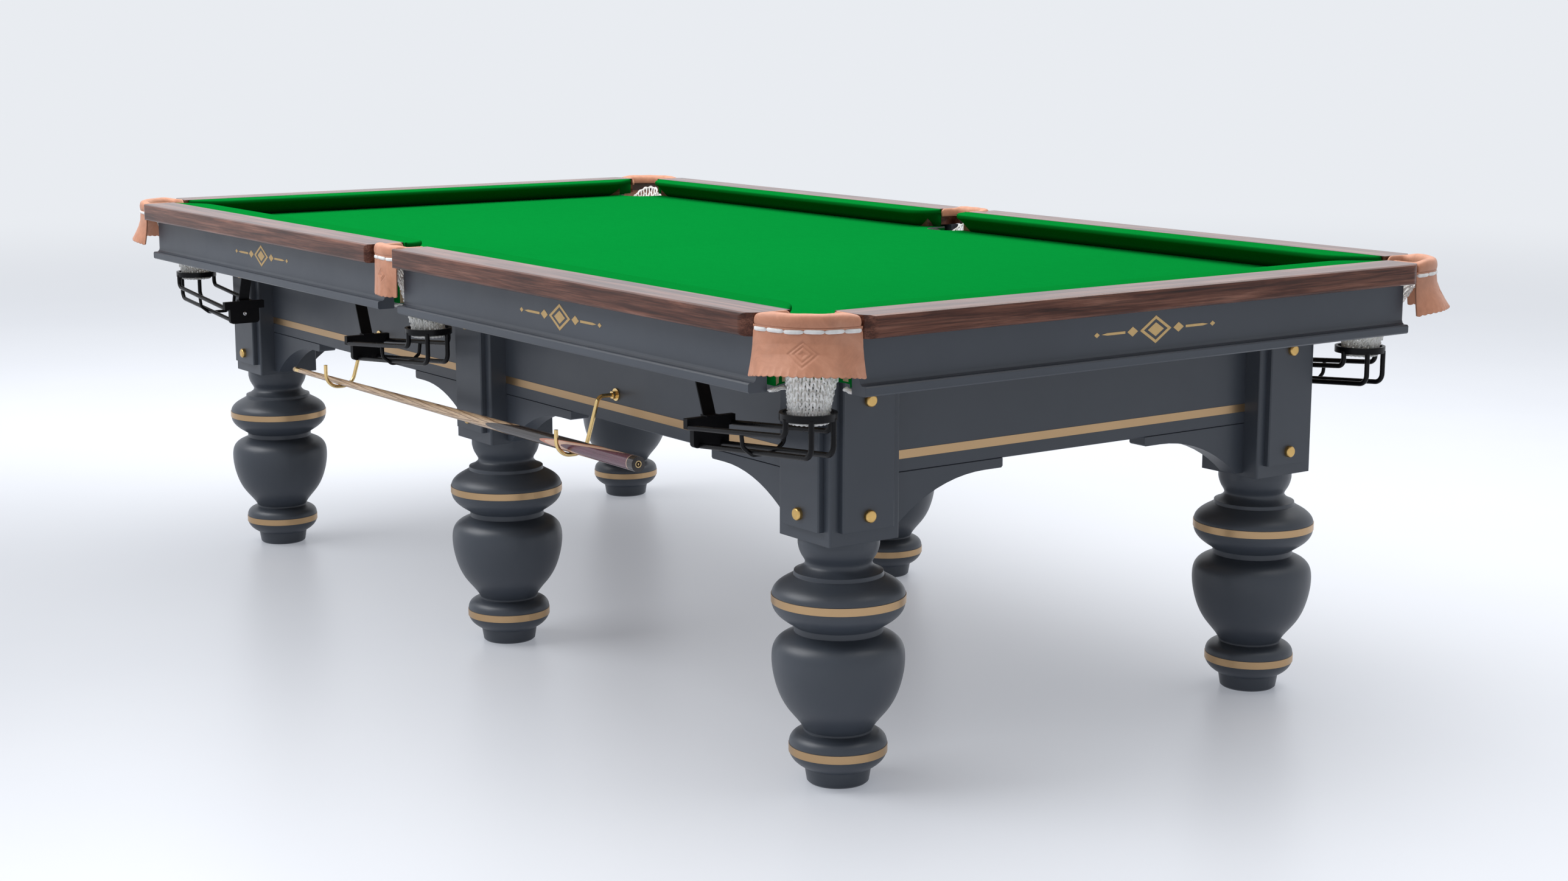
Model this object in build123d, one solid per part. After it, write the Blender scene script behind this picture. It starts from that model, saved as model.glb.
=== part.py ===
from build123d import *
from math import atan, atan2, cos, degrees, radians, sin, sqrt, tan
import os

# Pool table with a 2540 x 1270 mm playing field.
# Origin on the floor under the middle of the table, X along its length, Y across its width.
# "Front" is the side towards -Y, "right" is the end towards +X.

# Playing field and rails
FIELD_X, FIELD_Y = 1270.0, 635.0          # half length and half width between cushion noses
RAIL_DEPTH = 143.6                        # from cushion nose to the outer edge of the wood
CAP_DEPTH = 82.6                          # width of the wood seen from above
EDGE_X, EDGE_Y = FIELD_X + RAIL_DEPTH, FIELD_Y + RAIL_DEPTH
TOP_Z = 840.5                             # top of the wood and of the cushions
CAP_BOTTOM_Z = 803.2
NOSE_LOW_Z = 830.3                        # lower edge of the cushion's nose
SUBRAIL_IN, SUBRAIL_OUT, SUBRAIL_TOP_Z = 108.2, 68.0, 832.0
CAP_END_X, CAP_END_Y = 1281.0, 646.0      # ends of the wood beside the corner pockets
MIDDLE_GAP = 53.0                         # half the gap between rails at a middle pocket
MIDDLE_JAW, CORNER_JAW = (60.0, 85.0), (90.0, 40.0)     # radius and turn of a cushion's end

# Bed
CLOTH, SLATE, LINER = 1.4, 40.0, 40.0     # thicknesses
CLOTH_TOP_Z = 799.4
SLATE_TOP_Z = CLOTH_TOP_Z - CLOTH
LINER_TOP_Z = SLATE_TOP_Z - SLATE
FRAME_TOP_Z = LINER_TOP_Z - LINER
SLATE_X, SLATE_Y = 1350.0, 715.0          # half size of the slate bed
SLATE_JOINT_X = 450.0                     # the bed is in three pieces

# Pockets
CORNER_CUT, CORNER_CUT_R = (1286.5, 651.5), 60.0
MIDDLE_CUT_Y, MIDDLE_CUT_R = 690.0, 56.0
LEATHER_CENTRE, LEATHER_R = (1295.0, 660.0), 108.6
MIDDLE_LEATHER_Y, MIDDLE_LEATHER_R = 643.0, 130.0
PAD_THICK, PAD_LOW_Z, PAD_TOP_Z = 24.0, 822.0, 845.0
CORNER_RING = (1268.0, 651.0)             # centre of the ring that the net hangs into
MIDDLE_RING_Y = 672.0
NET_LOW_Z, NET_RING_R, NET_WALL = 664.0, 38.0, 3.0

# Under-frame
LEG_X, LEG_Y = 1150.9, 501.3
POST, POST_LOW_Z = 145.0, 430.0
PANEL_W, PANEL_T, PANEL_LOW_Z = 108.0, 11.0, 453.5
BEAM_OUT, BEAM_T, BEAM_LOW_Z = 35.5, 40.0, 532.0   # BEAM_OUT: beam face from the leg's centre line
INLAY_LOW_Z, INLAY_TOP_Z, INLAY_DEEP = 555.0, 570.0, 3.0
BOLT_Z = (477.5, 672.0)
APRON_FACE, APRON_BACK, LEDGE = 33.6, 54.0, 18.0   # measured inwards from the wood's outer edge
LEDGE_LOW_Z, LEDGE_TOP_Z = 710.0, 726.5
APRON_END_X, APRON_END_Y, APRON_GAP = 1258.0, 634.0, 43.0

# Ball racks, hooks and cue
ROD_R, TIE_R, RING_R = 4.7, 3.6, 44.5
RACK_LEN, STOP_T = 277.0, 12.0
HOOK_X, HOOK_ROD_R, HOOK_LOW_Z = 500.0, 4.0, 484.0
CUE_LEN, CUE_TIP_R, CUE_BUTT_R = 1470.0, 5.5, 14.3
CUE_TIP_X, CUE_Y = -732.0, -639.0
CUE_GAP = 0.3                             # the cue lies this far above the hooks


def block(x0, x1, y0, y1, z0, z1):
    """Plain block between two opposite corners."""
    middle = Pos((x0 + x1) / 2, (y0 + y1) / 2, (z0 + z1) / 2)
    return middle * Box(abs(x1 - x0), abs(y1 - y0), abs(z1 - z0))


def along_x(face, x0, x1):
    """Extrude a (y, z) face from x0 to x1."""
    return extrude(Plane.YZ.offset(x0) * face, x1 - x0)


def outline(*points):
    return make_face(Polyline(*points, close=True))


def upright(face, z0, z1):
    """Extrude a plan face from z0 up to z1."""
    return extrude(Pos(0, 0, z0) * face, z1 - z0)


def four_corners(piece):
    """The piece of the front right corner, and its copies at the other three."""
    right = [piece, mirror(piece, Plane.XZ)]
    return right + [Rot(0, 0, 180) * p for p in right]


def solids_of(pieces):
    """One compound of separate solids."""
    return Compound(children=[s for p in pieces for s in p.solids()])


def quarter_turn(piece):
    """Turn a piece made for the front side so that it stands at the right end."""
    return Rot(0, 0, 90) * piece


# ---------------------------------------------------------------- legs
def leg():
    """Turned leg about the Z axis: foot ring, vase, waist, wide ring and top collar."""
    foot = Polyline((50, 0), (53.5, 3), (57.5, 27))
    low_ring = Spline((57.5, 27), (70, 34.5), (80, 45), (84, 54))
    low_groove = Polyline((84, 54), (82.8, 54), (82.8, 68), (84, 68))
    low_top = Spline((84, 68), (81.5, 79), (70, 88.5))
    low_neck = Polyline((70, 88.5), (59, 91.5), (59, 95))
    vase = Spline((59, 95), (69, 110), (87, 132), (99.7, 154), (108, 178), (112.5, 200),
                  (113.8, 222), (109, 244), (97, 256), (82, 263), (76, 266))
    waist = Polyline((76, 266), (76, 276))
    wide_ring = Spline((76, 276), (86, 282.5), (100, 292.5), (109.3, 303), (113.8, 317.5))
    wide_groove = Polyline((113.8, 317.5), (112.8, 317.5), (112.8, 331), (113.8, 331))
    wide_top = Spline((113.8, 331), (112, 338), (105, 347), (91, 356.5), (79.5, 363))
    collar = Polyline((79.5, 363), (77, 364), (76, 371))
    neck = Spline((76, 371), (65, 376), (57.2, 385), (62.5, 397), (68, 410), (69.5, 422))
    top = Polyline((69.5, 422), (69.5, POST_LOW_Z), (0, POST_LOW_Z), (0, 0), (50, 0))
    profile = make_face([foot, low_ring, low_groove, low_top, low_neck, vase, waist, wide_ring,
                         wide_groove, wide_top, collar, neck, top])
    body = revolve(Plane.XZ * profile, Axis.Z)
    recess = Pos(0, 0, 4.5) * Cylinder(36.4, 9) + Pos(0, 0, 45) * Cylinder(8.2, 80)
    return body - recess


def levelling_foot():
    """Round pad on a screw. It stands just clear of the floor until it is screwed down."""
    return Pos(0, 0, 4.8) * Cylinder(36, 7.6) + Pos(0, 0, 44) * Cylinder(8, 72)


def leg_bands():
    def ring(r_in, r_out, z0, z1):
        return Pos(0, 0, (z0 + z1) / 2) * (Cylinder(r_out, z1 - z0) - Cylinder(r_in, z1 - z0))
    return [ring(82.8, 84.9, 54, 68), ring(112.8, 115, 317.5, 331)]


def post():
    shape = upright(RectangleRounded(POST, POST, 4), POST_LOW_Z, FRAME_TOP_Z)
    holes = [Plane.XZ * Pos(0, z, 0) * Cylinder(6, 2 * POST) for z in BOLT_Z]
    return shape - holes[0] - holes[1]


def post_holes_x(piece):
    """Bolt holes of a corner post's end face."""
    for z in BOLT_Z:
        piece -= Pos(POST / 2, 0, z) * Rot(0, 90, 0) * Cylinder(6, 60)
    return piece


def post_panel():
    """Raised panel on the post's front face, with its two bolt holes."""
    y = -POST / 2
    half = PANEL_W / 2
    plan = outline((-half, y), (-half, y - PANEL_T + 2), (-half + 2, y - PANEL_T),
                   (half - 2, y - PANEL_T), (half, y - PANEL_T + 2), (half, y))
    shape = upright(plan, PANEL_LOW_Z, FRAME_TOP_Z)
    for z in BOLT_Z:
        shape -= Pos(0, y, z) * Rot(90, 0, 0) * Cylinder(6, 40)
    return shape


def post_bolts():
    """Domed bolt with its shank, at each height on the post's front face."""
    face = POST / 2 + PANEL_T
    half = make_face([Polyline((0, -40), (6, -40), (6, 0), (11, 0), (11, 5)),
                      ThreePointArc((11, 5), (9.6, 7.4), (7, 8.5)),
                      Polyline((7, 8.5), (0, 8.5), (0, -40))])
    bolt = revolve(Plane.XZ * half, Axis.Z)
    return [Pos(0, -face, z) * Rot(90, 0, 0) * bolt for z in BOLT_Z]


def leg_places():
    """Name, x and y of each leg."""
    rows = [("right", LEG_X), ("middle", 0.0), ("left", -LEG_X)]
    return [(f"{side}_{row}", x, y) for side, y in (("front", -LEG_Y), ("back", LEG_Y))
            for row, x in rows]


# ---------------------------------------------------------------- frame
def beam(x0, x1, face_y, inlay=False):
    """Front beam from x0 to x1 with its outer face at face_y, or the brass strip in its groove."""
    groove = block(x0, x1, face_y, face_y + INLAY_DEEP, INLAY_LOW_Z, INLAY_TOP_Z)
    face = outline((face_y, FRAME_TOP_Z), (face_y, BEAM_LOW_Z + 2), (face_y + 2, BEAM_LOW_Z),
                   (face_y + BEAM_T, BEAM_LOW_Z), (face_y + BEAM_T, FRAME_TOP_Z))
    if inlay:
        return block(x0, x1, face_y - 0.4, face_y + INLAY_DEEP, INLAY_LOW_Z, INLAY_TOP_Z)
    return along_x(face, x0, x1) - groove


def corbel(face_y):
    """Bracket under a front beam, growing towards +X from the post face at x = 0."""
    shape = make_face([Polyline((0, 437), (0, BEAM_LOW_Z), (258, BEAM_LOW_Z), (258, 518),
                                (255, 515), (218, 515)),
                       ThreePointArc((218, 515), (110, 494.5), (18, 437)),
                       Polyline((18, 437), (0, 437))])
    return extrude(Plane.XZ.offset(-face_y) * shape, -BEAM_T)


def side_beam_spans():
    half = POST / 2
    return [(half, LEG_X - half), (half - LEG_X, -half)]


def end_beam_span():
    half = LEG_Y - POST / 2
    return -half, half


def side_face_y():
    return -LEG_Y - BEAM_OUT


def end_face_y():
    return -LEG_X - BEAM_OUT


def front_and_back(pieces):
    return pieces + [mirror(p, Plane.XZ) for p in pieces]


def both_ends(piece):
    return [quarter_turn(piece), Rot(0, 0, 180) * quarter_turn(piece)]


def side_beams():
    return front_and_back([beam(a, b, side_face_y()) for a, b in side_beam_spans()])


def end_beams():
    return both_ends(beam(*end_beam_span(), end_face_y()))


def beam_inlays():
    sides = front_and_back([beam(a, b, side_face_y(), True) for a, b in side_beam_spans()])
    return sides + both_ends(beam(*end_beam_span(), end_face_y(), True))


def corbels():
    half = POST / 2
    side = corbel(side_face_y())
    row = [Pos(half, 0, 0) * side, Pos(half - LEG_X, 0, 0) * side]
    row += [mirror(p, Plane.YZ) for p in row]
    end = Pos(half - LEG_Y, 0, 0) * corbel(end_face_y())
    return front_and_back(row) + [q for p in (end, mirror(end, Plane.YZ)) for q in both_ends(p)]


def cross_beams():
    """Beams across the table: one between the middle posts, two under the slate joints."""
    inner = LEG_Y - POST / 2
    beam_inner = LEG_Y + BEAM_OUT - BEAM_T
    middle = block(-30, 30, -inner, inner, 600, FRAME_TOP_Z)
    joints = [block(x - 40, x + 40, -beam_inner, beam_inner, 600, FRAME_TOP_Z)
              for x in (-SLATE_JOINT_X, SLATE_JOINT_X)]
    return [middle] + joints


def section(points, edge_y):
    """(y, z) face of a front rail from points of (distance in from the wood's edge, z)."""
    return outline(*[(-edge_y + t, z) for t, z in points])


def apron(x0, x1, edge_y):
    """Upright board under the wood with a ledge along its foot."""
    face = section([(APRON_FACE, CAP_BOTTOM_Z), (APRON_FACE, 734), (APRON_FACE - 1.5, 729.5),
                    (APRON_FACE - 5, LEDGE_TOP_Z), (LEDGE + 2.5, LEDGE_TOP_Z),
                    (LEDGE, LEDGE_TOP_Z - 2.5), (LEDGE, LEDGE_LOW_Z + 2.5),
                    (LEDGE + 2.5, LEDGE_LOW_Z), (APRON_BACK, LEDGE_LOW_Z),
                    (APRON_BACK, CAP_BOTTOM_Z)], edge_y)
    return along_x(face, x0, x1)


# ---------------------------------------------------------------- bed
def pocket_cuts(shrink=0.0):
    """Plan faces of the six pocket cuts, open towards the outside of the slate."""
    cuts = []
    for sx in (-1, 1):
        for sy in (-1, 1):
            x, y = CORNER_CUT[0] * sx, CORNER_CUT[1] * sy
            r = CORNER_CUT_R - shrink
            lane = Pos(x, y) * Rot(0, 0, degrees(atan2(sy, sx))) * Pos(80, 0) * Rectangle(160, 2 * r)
            cuts.append(Pos(x, y) * Circle(r) + lane)
    for sy in (-1, 1):
        r = MIDDLE_CUT_R - shrink
        lane = Pos(0, sy * (MIDDLE_CUT_Y + 40)) * Rectangle(2 * r, 80)
        cuts.append(Pos(0, sy * MIDDLE_CUT_Y) * Circle(r) + lane)
    return cuts


def minus_all(shape, cutters):
    for cutter in cutters:
        shape -= cutter
    return shape


def rail_bolt_places():
    side_y, end_x = EDGE_Y - 95, EDGE_X - 95
    sides = [(x, y) for x in (-1100, -660, -180, 180, 660, 1100) for y in (-side_y, side_y)]
    return sides + [(x, y) for x in (-end_x, end_x) for y in (-400, 0, 400)]


def bolt_holes():
    return [Pos(x, y, 771) * Cylinder(5, 108) for x, y in rail_bolt_places()]


def slate_pieces():
    bed = upright(minus_all(Rectangle(2 * SLATE_X, 2 * SLATE_Y), pocket_cuts()),
                  LINER_TOP_Z, SLATE_TOP_Z)
    bed = minus_all(bed, bolt_holes())
    spans = {"left": (-SLATE_X, -SLATE_JOINT_X), "middle": (-SLATE_JOINT_X, SLATE_JOINT_X),
             "right": (SLATE_JOINT_X, SLATE_X)}
    return {f"slate_{name}": bed & block(a, b, -800, 800, 700, 820) for name, (a, b) in spans.items()}


def slate_liner():
    """Wooden board under the slates, in three lengths that meet where the slates do."""
    plan = minus_all(Rectangle(2 * SLATE_X - 20, 2 * SLATE_Y - 20), pocket_cuts())
    bed = minus_all(upright(plan, FRAME_TOP_Z, LINER_TOP_Z), bolt_holes())
    cuts = (-SLATE_X, -SLATE_JOINT_X, SLATE_JOINT_X, SLATE_X)
    return [bed & block(a, b, -800, 800, 700, 820) for a, b in zip(cuts, cuts[1:])]


def bed_cloth():
    """Cloth over the slates, folded down over the edge of every pocket cut."""
    sheet = Rectangle(2 * SLATE_X, 2 * SLATE_Y)
    shape = upright(minus_all(sheet, pocket_cuts(CLOTH)), SLATE_TOP_Z, CLOTH_TOP_Z)
    for outer, inner in zip(pocket_cuts(), pocket_cuts(CLOTH)):
        shape += upright((outer - inner) & sheet, FRAME_TOP_Z - 4, SLATE_TOP_Z)
    return minus_all(shape, bolt_holes())


def rail_bolts():
    head = extrude(RegularPolygon(9.8, 6), 10)
    bolt = Pos(0, 0, FRAME_TOP_Z - 10) * head + Pos(0, 0, 771) * Cylinder(5, 106)
    return [Pos(x, y, 0) * bolt for x, y in rail_bolt_places()]


# ---------------------------------------------------------------- rails
def jaw_plan(edge_y, x0, x1, left, right):
    """Plan of a cushion whose nose turns away into the pockets. Each jaw is a radius and the angle it
    turns through before it runs straight to the wood."""
    nose, low = -edge_y + RAIL_DEPTH, -edge_y + CAP_DEPTH

    def jaw(x, side, r, turn):
        def on_arc(angle):
            a = radians(angle)
            return x + side * r * sin(a), nose - r * (1 - cos(a))
        end_x, end_y = on_arc(turn)
        foot = (end_x + side * (end_y - low) / tan(radians(turn)), low)
        return on_arc(turn / 2), (end_x, end_y), foot
    left_mid, left_end, left_foot = jaw(x0, -1, *left)
    right_mid, right_end, right_foot = jaw(x1, 1, *right)
    return make_face([
        Line(left_foot, right_foot), Line(right_foot, right_end),
        ThreePointArc(right_end, right_mid, (x1, nose)), Line((x1, nose), (x0, nose)),
        ThreePointArc((x0, nose), left_mid, left_end), Line(left_end, left_foot)])


def subrail(edge_y, x0, x1):
    """Wooden strip under the cap and behind the cushion, resting on the cloth."""
    return along_x(section([(SUBRAIL_OUT, CLOTH_TOP_Z), (SUBRAIL_IN, CLOTH_TOP_Z),
                            (SUBRAIL_IN, SUBRAIL_TOP_Z), (SUBRAIL_OUT, SUBRAIL_TOP_Z)], edge_y), x0, x1)


def cushion(edge_y, x0, x1, left, right, subrail_span):
    """Cloth-covered rubber with a flat top and a nose cut back underneath."""
    face = section([(CAP_DEPTH, 800), (112, 800), (RAIL_DEPTH, NOSE_LOW_Z), (RAIL_DEPTH, TOP_Z - 2),
                    (RAIL_DEPTH - 2, TOP_Z), (CAP_DEPTH, TOP_Z)], edge_y)
    bar = along_x(face, x0 - 200, x1 + 200)
    plan = upright(jaw_plan(edge_y, x0, x1, left, right), 790, 850)
    return (bar & plan) - subrail(edge_y, *subrail_span)


def rail_cap(edge_y, x0, x1, left_r, right_r, subrail_span):
    """Hardwood rail: the visible cap with rounded outer corners, and the sub-rail under it."""
    face = section([(0, CAP_BOTTOM_Z + 4), (1.2, CAP_BOTTOM_Z + 1.2), (4, CAP_BOTTOM_Z),
                    (CAP_DEPTH, CAP_BOTTOM_Z), (CAP_DEPTH, TOP_Z), (6, TOP_Z), (1.8, TOP_Z - 1.8),
                    (0, TOP_Z - 6)], edge_y)
    low, high = -edge_y, -edge_y + CAP_DEPTH
    plan = make_face(FilletPolyline(
        (x0, high), (x0, low), (x1, low), (x1, high),
        radius=(0.01, left_r, right_r, 0.01), close=True))
    shape = along_x(face, x0, x1) & upright(plan, 790, 850)
    shape += subrail(edge_y, *subrail_span)
    for x, y in rail_bolt_places():
        shape -= Pos(x, y, 771) * Cylinder(5, 108)
    return shape


def side_rail(maker):
    """Front right rail piece: small jaw at the middle pocket, large jaw at the corner pocket."""
    if maker is cushion:
        return cushion(EDGE_Y, 105, 1172, MIDDLE_JAW, CORNER_JAW, (66, 1222))
    return rail_cap(EDGE_Y, MIDDLE_GAP, CAP_END_X, 12, 27, (66, 1222))


def end_rail(maker):
    if maker is cushion:
        return quarter_turn(cushion(EDGE_X, -537, 537, CORNER_JAW, CORNER_JAW, (-588, 588)))
    plain = rail_cap(EDGE_X, -CAP_END_Y, CAP_END_Y, 27, 27, (-588, 588))
    return minus_all(quarter_turn(plain), bolt_holes())


# ---------------------------------------------------------------- pockets
def swept_band(points, centre, half_angle):
    """Turn a (radius, z) outline about a vertical line, half_angle each side of -Y."""
    face = Plane.XZ * outline(*points)
    band = revolve(face, Axis.Z, 2 * half_angle)
    return Pos(centre[0], centre[1], 0) * Rot(0, 0, -90 - half_angle) * band


def corner_turn(piece_at_front):
    """Move a band made facing -Y about the Z axis into the front right corner's direction."""
    return Pos(LEATHER_CENTRE[0], -LEATHER_CENTRE[1], 0) * Rot(0, 0, 45) * piece_at_front


def leather(r, pad_angle, flap_angle, flare, flap_low):
    """Padded roll over the pocket's edge with a flap that hangs and flares below it."""
    pad = [(r - PAD_THICK + 4, PAD_LOW_Z), (r - PAD_THICK, PAD_LOW_Z + 6), (r - PAD_THICK, PAD_TOP_Z - 6),
           (r - PAD_THICK + 6, PAD_TOP_Z), (r - 7, PAD_TOP_Z), (r, PAD_TOP_Z - 8), (r, PAD_LOW_Z + 4),
           (r - 2, PAD_LOW_Z)]
    flap = [(r - 6, PAD_LOW_Z), (r - 2, PAD_LOW_Z), (r, 800), (r + 0.25 * flare, 784),
            (r + flare, flap_low), (r + flare - 4, flap_low), (r + 0.25 * flare - 4, 784), (r - 4, 800)]
    return swept_band(pad, (0, 0), pad_angle) + swept_band(flap, (0, 0), flap_angle)


def pocket_leathers():
    """Each leather with its two arms, which lie along the ends of the rails up to the cushions."""
    def arm(wall, side, wide):
        plan = outline(*[(wall + side * x, -y) for x, y in (
            (0.4, 768), (0.4, 697), (8, 697), (10, 722), (wide, 742), (wide, 764), (6, 768))])
        return upright(plan, PAD_LOW_Z, PAD_TOP_Z - 1)
    corner = corner_turn(leather(LEATHER_R, 50, 52, 14, 746))
    first = arm(CAP_END_X, 1, 17)
    diagonal = Plane(origin=(CAP_END_X, -CAP_END_Y, 0), z_dir=(1, 1, 0))
    corner += [first, mirror(first, diagonal)]
    middle = Pos(0, -MIDDLE_LEATHER_Y, 0) * leather(MIDDLE_LEATHER_R, 22.2, 18.5, 1, 742)
    middle += [arm(MIDDLE_GAP, -1, 20), arm(-MIDDLE_GAP, 1, 20)]
    return four_corners(corner) + front_and_back([middle])


def pocket_irons():
    """Steel band under each padded roll, between the ends of the rails."""
    def band(r, half_angle):
        return swept_band([(r - 18, CAP_BOTTOM_Z), (r - 14, CAP_BOTTOM_Z), (r - 14, PAD_LOW_Z),
                           (r - 18, PAD_LOW_Z)], (0, 0), half_angle)
    corner = corner_turn(band(LEATHER_R, 49))
    middle = Pos(0, -MIDDLE_LEATHER_Y, 0) * band(MIDDLE_LEATHER_R, 21)
    return four_corners(corner) + front_and_back([middle])


def net(inner, outer, half_width, ring):
    """Open sleeve of netting for a front pocket. Its mouth slopes from inner, under the slate, up to outer."""
    across = (inner[1] - outer[1], outer[0] - inner[0], 0)
    centre = [(a + b) / 2 for a, b in zip(inner, outer)]
    rise = [b - a for a, b in zip(inner, outer)]
    length = sqrt(sum(r * r for r in rise))
    normal = Vector(*rise).cross(Vector(*across))

    def sleeve(shrink):
        mouth = Plane(origin=centre, x_dir=rise, z_dir=normal) * Ellipse(length / 2 - shrink, half_width - shrink)
        low = Plane((ring[0], -ring[1], NET_LOW_Z)) * Circle(NET_RING_R - shrink)
        return loft([low, mouth])
    return sleeve(0) - sleeve(NET_WALL)


def pocket_nets():
    low, high, side = FRAME_TOP_Z - 4, 812, sqrt(0.5)
    x, y = CORNER_CUT
    corner = net((x - 54 * side, 54 * side - y, low), (x + 98 * side, -y - 98 * side, high), 46, CORNER_RING)
    middle = net((0, 50 - MIDDLE_CUT_Y, low), (0, -750, high), 42, (0, MIDDLE_RING_Y))
    return four_corners(corner) + front_and_back([middle])


# ---------------------------------------------------------------- ball racks
def rod(points, bend, r):
    path = FilletPolyline(*points, radius=bend)
    return sweep(Plane(path @ 0, z_dir=path % 0) * Circle(r), path=path)


def ball_rack():
    """Wire rack about its ring's axis: ring, two upper rails, two lower rails and a tie below."""
    ring = Pos(0, 0, 666) * (Cylinder(RING_R + 2.8, 12) - Cylinder(RING_R - 2.8, 12))
    end = RACK_LEN - 0.4
    for side in (-1, 1):
        ring += rod([(0, side * RING_R, 664), (0, side * RING_R, 636), (end, side * RING_R, 611)], 14, ROD_R)
        ring += rod([(-38, side * 22, 664), (-38, side * 22, 604), (end, side * 22, 578)], 18, ROD_R)
    tie = [(125, -44, 625), (125, -41, 600), (125, -22, 585), (125, 22, 585), (125, 41, 600),
           (125, 44, 625)]
    return ring + rod(tie, 12, TIE_R)


def rack_stop():
    """T-shaped plate that the balls run against."""
    shape = Pos(0, 617) * Rectangle(98, 18) + Pos(0, 592.5) * Rectangle(72, 37)
    return along_x(fillet(shape.vertices().group_by(Axis.Y)[0], 8), RACK_LEN, RACK_LEN + STOP_T)


def rack_strap():
    """Flat hanger from the stop plate's top up to the slate's liner."""
    foot, head = 626.0, FRAME_TOP_Z
    side = outline((272, foot), (292, foot), (292, foot + 3), (286.2, foot + 3), (321, head - 3),
                   (350, head - 3), (350, head), (318.9, head), (282.9, foot + 3), (272, foot + 3))
    return extrude(Plane.XZ.offset(-12.5) * side, 25)


def rack_places():
    """Name and placement of each rack. A rack on the right and in the middle runs towards -X."""
    places = {}
    for name, sy in (("front", -1), ("back", 1)):
        places[f"{name}_right"] = Pos(CORNER_RING[0], sy * CORNER_RING[1], 0) * Rot(0, 0, 180)
        places[f"{name}_middle"] = Pos(0, sy * MIDDLE_RING_Y, 0) * Rot(0, 0, 180)
        places[f"{name}_left"] = Pos(-CORNER_RING[0], sy * CORNER_RING[1], 0)
    return places


# ---------------------------------------------------------------- hooks and cue
def hook_rod():
    """Bent brass rod: out from the beam, down, and up again in a J."""
    y0 = side_face_y() - 11
    points = [(0, y0, 588), (0, -577, 588), (0, -608.5, HOOK_LOW_Z), (0, -669.5, HOOK_LOW_Z),
              (0, -669.5, 534)]
    path = FilletPolyline(*points, radius=(14, 30, 30))
    return sweep(Plane(path @ 0, z_dir=path % 0) * Circle(HOOK_ROD_R), path=path)


def hook_rosette():
    """Round plate against the beam with a hexagonal nut in front of it."""
    plate = Pos(0, 0, 1.5) * Cylinder(12, 3)
    nut = Pos(0, 0, 3) * extrude(RegularPolygon(8, 6), 8)
    return Pos(0, side_face_y(), 588) * Rot(90, 0, 0) * (plate + nut)


def cue_piece(x0, x1, bore_r=0.0, bore_from=0.0):
    """Length of the tapered cue from x0 to x1, measured from its tip."""
    slope = (CUE_BUTT_R - CUE_TIP_R) / CUE_LEN
    side = outline((x0, 0), (x1, 0), (x1, CUE_TIP_R + slope * x1), (x0, CUE_TIP_R + slope * x0))
    piece = revolve(side, Axis.X)
    if bore_r:
        piece -= Pos((bore_from + CUE_LEN) / 2, 0, 0) * Rot(0, 90, 0) * Cylinder(bore_r, CUE_LEN - bore_from)
    return piece


def cue():
    """Nodes of the cue as it lies on the two hooks, its underside level."""
    tilt = degrees(atan((CUE_BUTT_R - CUE_TIP_R) / CUE_LEN))
    rest_z = HOOK_LOW_Z + HOOK_ROD_R + CUE_GAP + CUE_TIP_R
    place = Pos(CUE_TIP_X, CUE_Y, rest_z) * Rot(0, -tilt, 0)
    badge = Pos(CUE_LEN - 2, 0, 0) * Rot(0, 90, 0) * Cylinder(6.5, 4)
    pieces = {"cue_tip": cue_piece(0, 9), "cue_ferrule": cue_piece(9, 30),
              "cue_shaft": cue_piece(30, 912), "cue_butt": cue_piece(912, CUE_LEN, 6.5, CUE_LEN - 4),
              "cue_badge": badge}
    return {name: place * piece for name, piece in pieces.items()}


# ---------------------------------------------------------------- assembly
def leg_nodes():
    nodes, posts, panels, bands, bolts = {}, [], [], [], []
    leg_shape, foot_shape, panel = leg(), levelling_foot(), post_panel()
    for name, x, y in leg_places():
        here = Pos(x, y, 0)
        nodes[f"leg_{name}"] = here * leg_shape
        nodes[f"levelling_foot_{name}"] = here * foot_shape
        bands += [here * b for b in leg_bands()]
        turn = Rot(0, 0, 0 if y < 0 else 180)
        faces = [turn]
        this_post = post()
        if x:
            sign = 1 if x > 0 else -1
            this_post = post_holes_x(this_post) if x > 0 else Rot(0, 0, 180) * post_holes_x(this_post)
            faces.append(Rot(0, 0, 90 * sign))
        posts.append(here * this_post)
        for face in faces:
            panels.append(here * face * panel)
            bolts += [here * face * b for b in post_bolts()]
    nodes.update(leg_posts=solids_of(posts), post_panels=solids_of(panels),
                 leg_bands=solids_of(bands), post_bolts=solids_of(bolts))
    return nodes


def rail_nodes():
    nodes = {}
    for kind, maker in (("cushion", cushion), ("rail_cap", rail_cap)):
        front = side_rail(maker)
        end = end_rail(maker)
        nodes[f"{kind}_front_right"] = front
        nodes[f"{kind}_front_left"] = mirror(front, Plane.YZ)
        nodes[f"{kind}_back_right"] = mirror(front, Plane.XZ)
        nodes[f"{kind}_back_left"] = Rot(0, 0, 180) * front
        nodes[f"{kind}_right_end"] = end
        nodes[f"{kind}_left_end"] = Rot(0, 0, 180) * end
    side = apron(APRON_GAP, APRON_END_X, EDGE_Y)
    nodes["side_aprons"] = solids_of(four_corners(side))
    nodes["end_aprons"] = solids_of(both_ends(apron(-APRON_END_Y, APRON_END_Y, EDGE_X)))
    return nodes


def rack_nodes():
    rack, stop, strap = ball_rack(), rack_stop(), rack_strap()
    places = rack_places()
    nodes = {f"ball_rack_{name}": place * rack for name, place in places.items()}
    nodes["rack_stops"] = solids_of([place * stop for place in places.values()])
    nodes["rack_straps"] = solids_of([place * strap for place in places.values()])
    return nodes


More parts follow.
